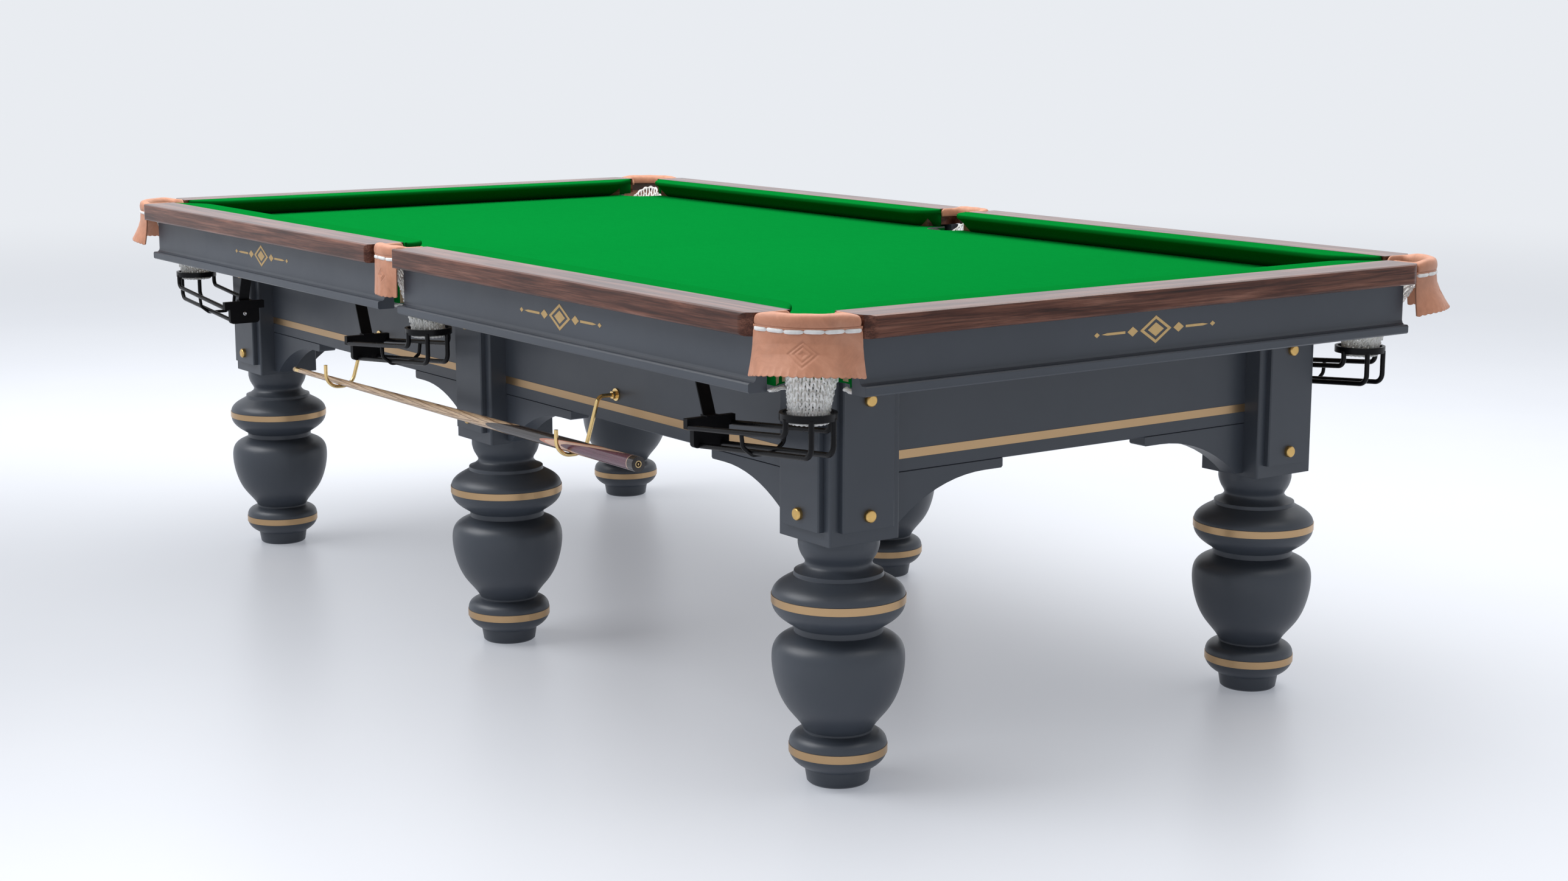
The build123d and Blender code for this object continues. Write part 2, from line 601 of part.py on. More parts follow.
def all_nodes():
    hooks = [Pos(x, 0, 0) for x in (HOOK_X, -HOOK_X)]
    nodes = leg_nodes()
    nodes.update(
        side_beams=solids_of(side_beams()), end_beams=solids_of(end_beams()),
        beam_inlays=solids_of(beam_inlays()), corbels=solids_of(corbels()),
        cross_beams=solids_of(cross_beams()), slate_liner=solids_of(slate_liner()),
        bed_cloth=bed_cloth(), rail_bolts=solids_of(rail_bolts()),
        pocket_leathers=solids_of(pocket_leathers()), pocket_irons=solids_of(pocket_irons()),
        pocket_nets=solids_of(pocket_nets()),
        cue_hooks=solids_of([at * hook_rod() for at in hooks]),
        hook_rosettes=solids_of([at * hook_rosette() for at in hooks]))
    nodes.update(slate_pieces())
    nodes.update(rail_nodes())
    nodes.update(rack_nodes())
    nodes.update(cue())
    return nodes


os.makedirs("parts", exist_ok=True)
for node, shape in all_nodes().items():
    export_step(shape, f"parts/{node}.step")
    print(node, len(shape.solids()), round(shape.volume / 1000), "cm3")
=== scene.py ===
"""Looks of a pool table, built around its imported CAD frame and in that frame's axes.

Meshes are written in millimetres and scaled to metres in piece(). Materials and lights are in metres.
"""

import math
import random

import bmesh
import bpy
import numpy as np
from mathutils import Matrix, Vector


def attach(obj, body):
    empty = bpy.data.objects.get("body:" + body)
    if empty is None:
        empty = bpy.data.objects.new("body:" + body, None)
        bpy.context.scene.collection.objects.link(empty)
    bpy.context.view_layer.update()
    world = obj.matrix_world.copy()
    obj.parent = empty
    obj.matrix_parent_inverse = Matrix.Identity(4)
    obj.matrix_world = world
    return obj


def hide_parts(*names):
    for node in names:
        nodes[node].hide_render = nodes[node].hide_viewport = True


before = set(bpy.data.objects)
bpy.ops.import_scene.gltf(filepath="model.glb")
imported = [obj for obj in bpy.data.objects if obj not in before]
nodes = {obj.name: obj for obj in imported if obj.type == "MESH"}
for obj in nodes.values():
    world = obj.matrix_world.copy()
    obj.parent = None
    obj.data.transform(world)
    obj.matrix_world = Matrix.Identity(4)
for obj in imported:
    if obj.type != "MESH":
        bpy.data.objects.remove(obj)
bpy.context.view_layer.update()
MM = 0.001
ROOT_HALF = math.sqrt(0.5)

# Sizes shared with the CAD, in millimetres, as (along the table, across it) where there are two
EDGE = (1413.6, 778.6)                     # half length and half width over the wood
RAIL_DEPTH, CAP_DEPTH = 143.6, 82.6
SUBRAIL_IN, SUBRAIL_TOP = 108.6, 832.4     # the sub-rail's own sizes with 0.4 mm of clearance
TOP, BED, LINER_LOW = 840.5, 799.4, 718.0
MIDDLE_JAW, CORNER_JAW = (60.0, 85.0), (90.0, 40.0)     # radius and turn of a cushion's end
SIDE_SPAN, END_SPAN = (105, 1172), (-537, 537)          # straight part of the side and end cushions
SIDE_SUBRAIL, END_SUBRAIL = (66, 1222), (-588, 588)
SLATE = (1350.0, 715.0)
CORNER_CUT, CORNER_CUT_R = (1286.5, 651.5), 60.0
MIDDLE_CUT_Y, MIDDLE_CUT_R = 690.0, 56.0
LEATHER_CENTRE, LEATHER_R = (1295.0, 660.0), 108.6
MIDDLE_LEATHER_Y, MIDDLE_LEATHER_R = 643.0, 130.0
CORNER_RING, MIDDLE_RING_Y = (1268.0, 651.0), 672.0
APRON_IN = 33.6                            # from the wood's edge in to the apron's face
STOP_AWAY, STOP_Z = 289.0, 597.0           # from a net's ring to its rack's stop plate, and its height
CUE_Y = -0.639                             # metres, as the cue's materials use it
BACKDROP = (0.815, 0.840, 0.880)           # colour of the studio's far wall and floor
FILL = 0.28                                # share of the backdrop's light that falls on dull surfaces


# ---------------------------------------------------------------- camera and light
def make_camera():
    data = bpy.data.cameras.new("camera")
    data.lens, data.sensor_width = 54.56, 36.0
    data.clip_start, data.clip_end = 0.05, 200.0
    cam = bpy.data.objects.new("camera", data)
    cam.location = (4.2784, -2.8533, 1.3042)
    cam.rotation_euler = (math.radians(79.687), 0.0, math.radians(54.408))
    bpy.context.scene.collection.objects.link(cam)
    bpy.context.scene.camera = cam


def area_light(name, place, target, size, watts, color):
    data = bpy.data.lights.new(name, "AREA")
    data.shape, data.size, data.size_y = "RECTANGLE", size[0], size[1]
    data.energy, data.color = watts, color
    lamp = bpy.data.objects.new(name, data)
    lamp.location = place
    lamp.rotation_euler = (Vector(target) - Vector(place)).to_track_quat("-Z", "Y").to_euler()
    lamp.visible_camera = False
    bpy.context.scene.collection.objects.link(lamp)


def make_light():
    """A large overhead light, a smaller one towards the front side, and a backdrop that fills softly."""
    world = bpy.data.worlds.new("studio")
    world.use_nodes = True
    tree = world.node_tree
    back = tree.nodes["Background"]
    back.inputs["Color"].default_value = (*BACKDROP, 1)
    path = tree.nodes.new("ShaderNodeLightPath")
    strength = tree.nodes.new("ShaderNodeMapRange")
    strength.inputs["To Min"].default_value, strength.inputs["To Max"].default_value = 1.0, FILL
    tree.links.new(path.outputs["Is Diffuse Ray"], strength.inputs["Value"])
    tree.links.new(strength.outputs[0], back.inputs["Strength"])
    bpy.context.scene.world = world
    area_light("overhead", (-0.3, 0.2, 4.6), (0, 0, 0.8), (8.0, 6.0), 430, (1.0, 0.99, 0.98))
    area_light("front", (-2.2, -4.2, 4.4), (-0.3, 0, 0.7), (4.5, 2.4), 160, (0.97, 0.98, 1.0))
    scene = bpy.context.scene
    scene.view_settings.view_transform = "Standard"
    scene.view_settings.look = "None"


make_camera()
make_light()


# ---------------------------------------------------------------- materials
class Surface:
    """A procedural material on one Principled shader."""

    def __init__(self, name, color, roughness, **fixed):
        self.mat = bpy.data.materials.new(name)
        self.mat.use_nodes = True
        self.tree = self.mat.node_tree
        self.shader = self.tree.nodes["Principled BSDF"]
        self.shader.inputs["Base Color"].default_value = (*color, 1)
        self.shader.inputs["Roughness"].default_value = roughness
        for socket, value in fixed.items():
            self.shader.inputs[socket.replace("_", " ").title().replace("Ior", "IOR")].default_value = value
        self.normal = None

    def add(self, kind, inputs=None, **settings):
        node = self.tree.nodes.new(kind)
        for key, value in settings.items():
            setattr(node, key, value)
        for key, value in (inputs or {}).items():
            self.feed(node.inputs[key], value)
        return node

    def feed(self, socket, value):
        if isinstance(value, bpy.types.NodeSocket):
            self.tree.links.new(value, socket)
        elif isinstance(value, (tuple, list)) and len(value) == 3 and socket.type == "RGBA":
            socket.default_value = (*value, 1)
        else:
            socket.default_value = value

    def coords(self, scale=(1, 1, 1), move=(0, 0, 0)):
        where = self.add("ShaderNodeTexCoord").outputs["Object"]
        return self.add("ShaderNodeMapping", {"Vector": where, "Scale": scale, "Location": move}).outputs[0]

    def noise(self, scale, size=1.0, detail=2.0, rough=0.5, bend=0.0):
        return self.add("ShaderNodeTexNoise", {
            "Vector": self.coords(scale), "Scale": size, "Detail": detail, "Roughness": rough,
            "Distortion": bend}).outputs["Fac"]

    def ramp(self, fac, *stops):
        node = self.add("ShaderNodeValToRGB", {"Fac": fac})
        band = node.color_ramp
        while len(band.elements) < len(stops):
            band.elements.new(0.5)
        for element, (where, color) in zip(band.elements, stops):
            element.position = where
            element.color = (*color, 1) if isinstance(color, tuple) else (color, color, color, 1)
        return node.outputs["Color"]

    def calc(self, operation, a, b=0.0, c=0.0):
        node = self.add("ShaderNodeMath", operation=operation)
        for socket, value in zip(node.inputs, (a, b, c)):
            self.feed(socket, value)
        return node.outputs[0]

    def mix(self, fac, a, b, blend="MIX"):
        node = self.add("ShaderNodeMix", data_type="RGBA", blend_type=blend)
        self.feed(node.inputs["Factor"], fac)
        self.feed([s for s in node.inputs if s.name == "A" and s.type == "RGBA"][0], a)
        self.feed([s for s in node.inputs if s.name == "B" and s.type == "RGBA"][0], b)
        return [s for s in node.outputs if s.type == "RGBA"][0]

    def color(self, value):
        self.feed(self.shader.inputs["Base Color"], value)
        return self

    def rough(self, fac, low, high):
        node = self.add("ShaderNodeMapRange", {"Value": fac, "To Min": low, "To Max": high})
        self.feed(self.shader.inputs["Roughness"], node.outputs[0])
        return self

    def bump(self, height, strength, depth):
        node = self.add("ShaderNodeBump", {"Height": height, "Strength": strength, "Distance": depth})
        if self.normal is not None:
            self.feed(node.inputs["Normal"], self.normal)
        self.normal = node.outputs[0]
        self.feed(self.shader.inputs["Normal"], self.normal)
        return self

    def soft_edges(self, radius):
        self.normal = self.add("ShaderNodeBevel", {"Radius": radius}, samples=4).outputs[0]
        self.feed(self.shader.inputs["Normal"], self.normal)
        return self


def grey_paint():
    s = Surface("grey_paint", (0.055, 0.060, 0.070), 0.4, specular_ior_level=0.45).soft_edges(0.0012)
    cloud = s.noise((1, 1, 1), 2.2, 5, 0.6)
    s.color(s.ramp(cloud, (0.3, (0.045, 0.053, 0.067)), (0.7, (0.056, 0.066, 0.083))))
    s.rough(s.noise((1, 1, 1), 9, 6, 0.65), 0.30, 0.50)
    s.bump(s.noise((1, 1, 1), 420, 2), 0.10, 0.0004)
    return s.mat


def walnut(name, scale, pores):
    s = Surface(name, (0.1, 0.05, 0.03), 0.3, coat_weight=0.4, coat_roughness=0.10, coat_ior=1.34,
                specular_ior_level=0.12).soft_edges(0.0015)
    figure = s.noise(scale, 1.0, 7, 0.66, 0.4)
    body = s.ramp(figure, (0.30, (0.022, 0.007, 0.0045)), (0.44, (0.085, 0.028, 0.017)),
                  (0.56, (0.170, 0.066, 0.042)), (0.72, (0.300, 0.138, 0.094)))
    pore = s.ramp(s.noise(pores, 1.0, 3, 0.6), (0.36, 0.40), (0.54, 1.0))
    s.color(s.mix(pore, (0.022, 0.009, 0.007), body))
    s.rough(figure, 0.34, 0.24)
    s.bump(pore, 0.25, 0.0003)
    return s.mat


def plain_wood():
    s = Surface("plain_wood", (0.45, 0.33, 0.2), 0.6)
    s.color(s.ramp(s.noise((3, 40, 40), 1, 6, 0.6), (0.3, (0.32, 0.22, 0.13)), (0.7, (0.52, 0.39, 0.25))))
    s.bump(s.noise((10, 300, 300), 1, 3), 0.2, 0.0003)
    return s.mat


def brass(name, color, rough_low, rough_high, brushed):
    s = Surface(name, color, rough_low, metallic=1.0)
    if brushed:
        lines = s.noise((6, 6, 1800), 1, 3, 0.6)
        s.color(s.mix(s.noise((2, 2, 2), 3, 3), tuple(0.86 * c for c in color), color))
        s.bump(lines, 0.10, 0.0002)
        s.rough(lines, rough_low, rough_high)
    else:
        s.soft_edges(0.0006)
        smear = s.noise((1, 1, 1), 120, 4)
        s.color(s.mix(smear, tuple(0.8 * c for c in color), color))
        s.rough(smear, rough_low, rough_high)
        s.bump(s.noise((1, 1, 1), 900, 2), 0.05, 0.0002)
    return s.mat


def cloth(name, deep, light, drape=0.0, painted_shade=None):
    """Napped wool: a fine felted surface with a lengthwise nap. With a shade colour given, steep faces are
    also darkened towards it: painted shade, by the object-space normal.
    """
    s = Surface(name, light, 0.95, specular_ior_level=0.0)
    felt = s.noise((1, 1, 1), 900, 4, 0.7)
    nap = s.noise((14, 90, 90), 1, 5, 0.65)
    drift = s.noise((1, 1, 1), 1.7, 3)
    body = s.mix(s.ramp(felt, (0.3, 0.0), (0.7, 1.0)), deep, light)
    body = s.mix(s.ramp(nap, (0.35, 0.25), (0.65, 0.0)), body, deep)
    body = s.mix(s.ramp(drift, (0.3, 0.12), (0.7, 0.0)), body, deep)
    # Painted shade: the colour darkens towards the shade colour as the surface turns from flat to upright,
    # by the height of the object-space normal.
    if painted_shade:
        facing = s.add("ShaderNodeTexCoord").outputs["Normal"]
        up = s.add("ShaderNodeSeparateXYZ", {"Vector": facing}).outputs[2]
        body = s.mix(s.ramp(up, (0.30, 1.0), (0.92, 0.0)), body, painted_shade)
    s.color(body)
    s.bump(felt, 0.35, 0.0005)
    if drape:
        s.bump(s.noise((3, 3, 3), 3, 3), drape, 0.002)
    return s.mat


def slate():
    s = Surface("slate", (0.16, 0.17, 0.18), 0.6)
    s.color(s.ramp(s.noise((1, 1, 6), 6, 8, 0.7), (0.3, (0.11, 0.12, 0.13)), (0.7, (0.22, 0.23, 0.24))))
    s.bump(s.noise((1, 1, 1), 200, 5), 0.3, 0.0004)
    return s.mat


def leather_skin():
    s = Surface("tan_leather", (0.6, 0.31, 0.19), 0.5, specular_ior_level=0.42, sheen_weight=0.08)
    cloud = s.noise((1, 1, 1), 24, 7, 0.68, 0.5)
    stain = s.noise((1, 1, 1), 9, 4, 0.6)
    body = s.ramp(cloud, (0.28, (0.43, 0.185, 0.105)), (0.5, (0.55, 0.245, 0.145)),
                  (0.74, (0.64, 0.310, 0.195)))
    s.color(s.mix(s.ramp(stain, (0.52, 0.0), (0.78, 0.5)), body, (0.36, 0.20, 0.14)))
    grain = s.add("ShaderNodeTexVoronoi", {"Vector": s.coords(), "Scale": 620.0},
                  feature="DISTANCE_TO_EDGE").outputs["Distance"]
    s.rough(cloud, 0.56, 0.42)
    s.bump(s.ramp(grain, (0.0, 0.0), (0.25, 1.0)), 0.22, 0.0003)
    s.bump(cloud, 0.25, 0.0012)
    return s.mat


def yarn(name, dark, light):
    s = Surface(name, light, 0.85, sheen_weight=0.2, specular_ior_level=0.2)
    fibre = s.noise((1, 1, 1), 1400, 3, 0.7)
    s.color(s.mix(s.ramp(s.noise((1, 1, 1), 60, 4), (0.35, 0.0), (0.65, 1.0)), dark, light))
    s.bump(fibre, 0.6, 0.0006)
    return s.mat


def black_metal(name, roughness, bump):
    s = Surface(name, (0.004, 0.004, 0.005), roughness, specular_ior_level=0.16).soft_edges(0.0008)
    s.rough(s.noise((1, 1, 1), 60, 4), roughness, roughness + 0.14)
    s.bump(s.noise((1, 1, 1), 700, 3), bump, 0.0003)
    return s.mat


def steel(name, color, roughness):
    s = Surface(name, color, roughness, metallic=1.0).soft_edges(0.0004)
    s.rough(s.noise((1, 1, 1), 200, 4), roughness, roughness + 0.15)
    s.bump(s.noise((1, 1, 1), 1200, 2), 0.06, 0.0002)
    return s.mat


def brown_iron():
    s = Surface("brown_iron", (0.05, 0.03, 0.025), 0.45)
    s.color(s.ramp(s.noise((1, 1, 1), 40, 5), (0.3, (0.035, 0.020, 0.016)), (0.7, (0.065, 0.038, 0.03))))
    s.bump(s.noise((1, 1, 1), 300, 4), 0.2, 0.0004)
    return s.mat


def cue_parts(s):
    """Along the cue, and up and down from its axis, as sockets."""
    split = s.add("ShaderNodeSeparateXYZ", {"Vector": s.coords()})
    x, y, z = split.outputs
    rise = s.calc("MULTIPLY_ADD", s.calc("ADD", x, 0.732), (14.3 - 5.5) / 1470, 0.4938)
    return x, s.calc("SUBTRACT", y, CUE_Y), s.calc("SUBTRACT", z, rise)


def ash_color(s, x, z):
    """Pale ash with long dark chevrons down the front and back of the cue."""
    wander = s.noise((5, 40, 40), 1, 4, 0.6)
    rings = s.calc("MULTIPLY", x, 9.0)
    phase = s.calc("ADD", rings, s.calc("MULTIPLY", s.calc("ABSOLUTE", z), 190.0))
    phase = s.calc("FRACT", s.calc("MULTIPLY_ADD", wander, 1.1, phase))
    grain = s.ramp(phase, (0.0, (0.12, 0.058, 0.030)), (0.12, (0.24, 0.13, 0.065)),
                   (0.24, (0.62, 0.43, 0.26)), (0.80, (0.70, 0.51, 0.33)), (1.0, (0.42, 0.27, 0.16)))
    fleck = s.ramp(s.noise((60, 2500, 2500), 1, 2), (0.38, 0.0), (0.5, 1.0))
    return s.mix(fleck, (0.34, 0.21, 0.12), grain)


def cue_ash():
    s = Surface("cue_ash", (0.66, 0.47, 0.3), 0.33, coat_weight=0.3, coat_roughness=0.2)
    x, _, z = cue_parts(s)
    s.color(ash_color(s, x, z))
    s.bump(s.noise((60, 2500, 2500), 1, 2), 0.08, 0.0002)
    return s.mat


def cue_dark():
    """Butt of the cue: pointed splices of ebony, veneers and purple wood, one inside the other."""
    s = Surface("cue_dark", (0.03, 0.015, 0.015), 0.25, coat_weight=0.5, coat_roughness=0.12)
    x, y, z = cue_parts(s)
    streak = s.noise((18, 700, 700), 1, 4, 0.6)
    around = s.calc("MULTIPLY", z, z)

    def inside(start, wide):
        """1 where x is past the splice's pointed outline."""
        tip = s.calc("MULTIPLY_ADD", around, 1 / (wide * wide), start)
        return s.calc("GREATER_THAN", x, tip)
    ebony = s.ramp(streak, (0.3, (0.010, 0.007, 0.007)), (0.7, (0.030, 0.018, 0.016)))
    purple = s.ramp(streak, (0.3, (0.062, 0.014, 0.030)), (0.7, (0.150, 0.045, 0.075)))
    body = s.mix(inside(0.19, 0.034), ash_color(s, x, z), ebony)
    facing = s.calc("LESS_THAN", y, 0.0)
    for start, color in ((0.405, (0.55, 0.20, 0.12)), (0.425, (0.66, 0.42, 0.30)), (0.485, purple)):
        body = s.mix(s.calc("MULTIPLY", inside(start, 0.0305), facing), body, color)
    body = s.mix(s.calc("GREATER_THAN", x, 0.7175), body, (0.60, 0.38, 0.27))
    body = s.mix(s.calc("GREATER_THAN", x, 0.7195), body, ebony)
    s.color(body)
    s.rough(streak, 0.2, 0.32)
    return s.mat


def cue_badge_look():
    s = Surface("cue_badge", (0.8, 0.6, 0.3), 0.25, metallic=0.9)
    _, y, z = cue_parts(s)
    out = s.calc("SQRT", s.calc("ADD", s.calc("MULTIPLY", y, y), s.calc("MULTIPLY", z, z)))
    lozenge = s.calc("ADD", s.calc("MULTIPLY", s.calc("ABSOLUTE", y), 1.6), s.calc("ABSOLUTE", z))
    ring = s.calc("GREATER_THAN", out, 0.0047)
    mark = s.calc("LESS_THAN", lozenge, 0.0026)
    s.color(s.mix(s.calc("MAXIMUM", ring, mark), (0.02, 0.012, 0.01), (0.80, 0.58, 0.28)))
    s.bump(s.noise((1, 1, 1), 900, 2), 0.05, 0.0002)
    return s.mat


def floor_look():
    # The floor glows faintly all over: painted light that lifts the shade under the table.
    s = Surface("studio_floor", (0.54, 0.55, 0.58), 0.34, specular_ior_level=0.30,
                emission_color=(0.79, 0.83, 0.92, 1), emission_strength=0.30)
    tint = s.ramp(s.noise((1, 1, 1), 1.2, 3), (0.3, (0.530, 0.545, 0.575)), (0.7, (0.550, 0.565, 0.590)))
    # Painted shade: the floor is darkened by up to half near a point 1.2 m left of and 2 m in front of the
    # middle, fading out by 2.7 m from it.
    shade_spot = s.coords(move=(1.2, 2.0, 0))
    bright = s.add("ShaderNodeVectorMath", {0: shade_spot}, operation="LENGTH").outputs["Value"]
    floor_painted_shade = s.add("ShaderNodeMapRange", {"Value": bright, "From Min": 0.5, "From Max": 2.7, "To Min": 0.50,
                                        "To Max": 1.0}, interpolation_type="SMOOTHSTEP").outputs[0]
    s.color(s.mix(floor_painted_shade, (0.0, 0.0, 0.0), tint))
    s.bump(s.noise((1, 1, 1), 60, 3), 0.02, 0.001)
    glow = s.add("ShaderNodeEmission", {"Color": BACKDROP, "Strength": 1.0})
    split = s.add("ShaderNodeVectorMath", {0: s.coords()}, operation="LENGTH").outputs["Value"]
    far = s.add("ShaderNodeMapRange", {"Value": split, "From Min": 3.5, "From Max": 11.0},
                interpolation_type="SMOOTHSTEP").outputs[0]
    blend = s.add("ShaderNodeMixShader", {0: far, 1: s.shader.outputs[0], 2: glow.outputs[0]})
    s.feed(s.tree.nodes["Material Output"].inputs["Surface"], blend.outputs[0])
    return s.mat


# Every material, by the name that a piece asks for
LOOKS = {
    "grey_paint": grey_paint(), "plain_wood": plain_wood(),
    "walnut_x": walnut("walnut_x", (3.2, 48, 60), (7, 480, 480)),
    "walnut_y": walnut("walnut_y", (48, 3.2, 60), (480, 7, 480)),
    "brass_strip": brass("brass_strip", (0.50, 0.335, 0.185), 0.28, 0.44, True),
    "bolt_brass": brass("bolt_brass", (0.72, 0.47, 0.17), 0.24, 0.38, False),
    "hook_brass": brass("hook_brass", (0.86, 0.62, 0.28), 0.12, 0.24, False),
    "gold_print": brass("gold_print", (0.60, 0.42, 0.20), 0.42, 0.55, False),
    "bed_cloth": cloth("bed_cloth", (0.0010, 0.148, 0.021), (0.0018, 0.228, 0.033)),
    # The cushion cloth's third colour is painted shade for its steep faces.
    "cushion_cloth": cloth("cushion_cloth", (0.0010, 0.140, 0.019), (0.0018, 0.215, 0.030), 0.2,
                           (0.0012, 0.110, 0.013)),
    "slate": slate(), "leather": leather_skin(), "iron": brown_iron(),
    "net": yarn("net_cord", (0.66, 0.66, 0.64), (0.94, 0.94, 0.92)),
    "lace": yarn("lace_cord", (0.78, 0.78, 0.77), (0.93, 0.93, 0.92)),
    "rack": black_metal("black_gloss", 0.22, 0.06), "stop": black_metal("black_matt", 0.48, 0.2),
    "steel": steel("zinc_steel", (0.45, 0.45, 0.46), 0.35),
    "screw": steel("screw_steel", (0.62, 0.62, 0.63), 0.22),
    "cue_tip": plain_wood(), "cue_ash": cue_ash(), "cue_dark": cue_dark(), "cue_badge": cue_badge_look(),
}
# CAD nodes that aren't painted, by node
NODE_LOOKS = {
    "leg_bands": "brass_strip", "beam_inlays": "brass_strip", "post_bolts": "bolt_brass",
    "cue_hooks": "hook_brass", "hook_rosettes": "hook_brass", "cross_beams": "plain_wood",
    "slate_liner": "plain_wood", "slate_left": "slate", "slate_middle": "slate", "slate_right": "slate",
    "pocket_irons": "iron", "rail_bolts": "steel", "rack_stops": "stop", "rack_straps": "stop",
    "rail_cap_right_end": "walnut_y", "rail_cap_left_end": "walnut_y", "cue_tip": "cue_tip",
    "cue_ferrule": "hook_brass", "cue_shaft": "cue_ash", "cue_butt": "cue_dark", "cue_badge": "cue_badge",
}


def look_of(name):
    if name in NODE_LOOKS:
        return NODE_LOOKS[name]
    for start, look in (("rail_cap", "walnut_x"), ("ball_rack", "rack"), ("levelling", "steel")):
        if name.startswith(start):
            return look
    return "grey_paint"


def dress_nodes():
    """Materials on the CAD's own meshes."""
    for name, node in nodes.items():
        node.data.materials.clear()
        node.data.materials.append(LOOKS[look_of(name)])


# ---------------------------------------------------------------- mesh helpers
def piece(name, points, faces, look, slot, node=None, body="table", smooth=True):
    """A mesh from points in millimetres. It rides on its body, and may stand for a CAD node."""
    mesh = bpy.data.meshes.new(name)
    mesh.from_pydata([tuple(p) for p in np.asarray(points) * MM], [], [tuple(f) for f in faces])
    mesh.validate()
    mesh.polygons.foreach_set("use_smooth", [smooth] * len(mesh.polygons))
    mesh.materials.append(LOOKS[look])
    made = bpy.data.objects.new(name, mesh)
    bpy.context.scene.collection.objects.link(made)
    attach(made, body)
    if node:
        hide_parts(node)
    return made


def grid_faces(rows, columns, close_rows=False, close_columns=False, first=0):
    """Quads of a grid of points stored row by row."""
    a = np.arange(rows if close_rows else rows - 1)
    b = np.arange(columns if close_columns else columns - 1)
    i, j = (g.ravel() for g in np.meshgrid(a, b, indexing="ij"))
    i2, j2 = (i + 1) % rows, (j + 1) % columns
    quads = np.stack([i * columns + j, i2 * columns + j, i2 * columns + j2, i * columns + j2], 1)
    return quads + first


def loft(sections, close_ends=True):
    """Closed cross-sections joined into one skin."""
    points = np.concatenate(sections)
    rows, columns = len(sections), len(sections[0])
    faces = [tuple(f) for f in grid_faces(rows, columns, close_columns=True)]
    if close_ends:
        faces.append(tuple(range(columns)))
        faces.append(tuple(range((rows - 1) * columns, rows * columns))[::-1])
    return points, faces


def tube(line, ref, radius, sides=6, closed=True, flat=1.0):
    """A tube along a line, with ref roughly across it. flat squeezes it along ref."""
    line, ref = np.asarray(line, float), np.asarray(ref, float)
    ahead, behind = np.roll(line, -1, 0), np.roll(line, 1, 0)
    if not closed:
        ahead[-1], behind[0] = line[-1], line[0]
    along = ahead - behind
    along /= np.linalg.norm(along, axis=1, keepdims=True)
    side = np.cross(along, ref)
    side /= np.linalg.norm(side, axis=1, keepdims=True)
    up = np.cross(side, along)
    turn = np.arange(sides) * 2 * math.pi / sides
    radius = np.broadcast_to(np.asarray(radius, float), (len(line),))[:, None, None]
    ring = side[:, None] * np.cos(turn)[:, None] + up[:, None] * (np.sin(turn) * flat)[:, None]
    points = (line[:, None] + ring * radius).reshape(-1, 3)
    faces = [tuple(f) for f in grid_faces(len(line), sides, close_rows=closed, close_columns=True)]
    if not closed:
        faces.append(tuple(range(sides)))
        faces.append(tuple(range((len(line) - 1) * sides, len(line) * sides))[::-1])
    return points, faces


def joined(parts):
    """Several (points, faces) as one."""
    points, faces, count = [], [], 0
    for p, f in parts:
        points.append(np.asarray(p, float))
        faces += [tuple(i + count for i in face) for face in f]
        count += len(p)
    return np.concatenate(points), faces


def mirrored(points, faces, sx, sy):
    """The front right piece, moved to another quarter of the table."""
    points = np.asarray(points, float) * (sx, sy, 1)
    return points, ([tuple(f)[::-1] for f in faces] if sx * sy < 0 else faces)


def curve_through(points, count):
    """Smooth line through points, evenly spaced."""
    p = np.asarray(points, float)
    p = np.concatenate([2 * p[:1] - p[1:2], p, 2 * p[-1:] - p[-2:-1]])
    t = np.linspace(0, 1, 16, endpoint=False)[:, None]
    out = []
    for a, b, c, d in zip(p, p[1:], p[2:], p[3:]):
        square, cube = 2 * a - 5 * b + 4 * c - d, 3 * b - a - 3 * c + d
        out.append(0.5 * (2 * b + (c - a) * t + square * t ** 2 + cube * t ** 3))
    line = np.concatenate(out + [p[-2:-1]])
    run = np.concatenate([[0], np.cumsum(np.linalg.norm(np.diff(line, axis=0), axis=1))])
    where = np.linspace(0, run[-1], count)
    return np.stack([np.interp(where, run, line[:, k]) for k in range(line.shape[1])], 1)


# Name and mirror signs of each corner and middle pocket
CORNERS = (("front_right", 1, 1), ("front_left", -1, 1), ("back_right", 1, -1), ("back_left", -1, -1))
MIDDLES = (("front_middle", 1, 1), ("back_middle", 1, -1))


def corner_place(out, across, origin):
    """Plan position from distances outwards along the corner's diagonal and across it."""
    out, across = np.asarray(out, float), np.asarray(across, float)
    return np.stack([origin[0] + (out + across) * ROOT_HALF, -origin[1] + (across - out) * ROOT_HALF], -1)


def middle_place(out, across, origin):
    """Plan position from distances outwards and across a middle pocket."""
    out, across = np.asarray(out, float), np.asarray(across, float)
    return np.stack([origin[0] + across, -origin[1] - out], -1)


dress_nodes()


# ---------------------------------------------------------------- bed cloth
def cloth_outline():
    """Plan of the slate bed with its pocket cuts, once round."""
    turns = np.linspace(-math.pi / 2, math.pi / 2, 33)
    r = CORNER_CUT_R
    corner = [(29.8, -r)] + [(-r * math.cos(t), r * math.sin(t)) for t in turns] + [(29.8, r)]
    front_right = corner_place([p[0] for p in corner], [p[1] for p in corner], CORNER_CUT)
    r = MIDDLE_CUT_R
    middle = [(25, -r)] + [(-r * math.cos(t), r * math.sin(t)) for t in turns] + [(25, r)]
    front = middle_place([p[0] for p in middle], [p[1] for p in middle], (0, MIDDLE_CUT_Y))
    half = np.concatenate([front[front[:, 0] > -1e-6], front_right])
    half = half[np.concatenate([[True], np.linalg.norm(np.diff(half, axis=0), axis=1) > 1e-6])]
    quarter = [half, (half * (1, -1))[::-1], half * (-1, -1), (half * (-1, 1))[::-1]]
    line = np.concatenate(quarter)
    keep = np.linalg.norm(line - np.roll(line, 1, 0), axis=1) > 1e-6
    return line[keep]


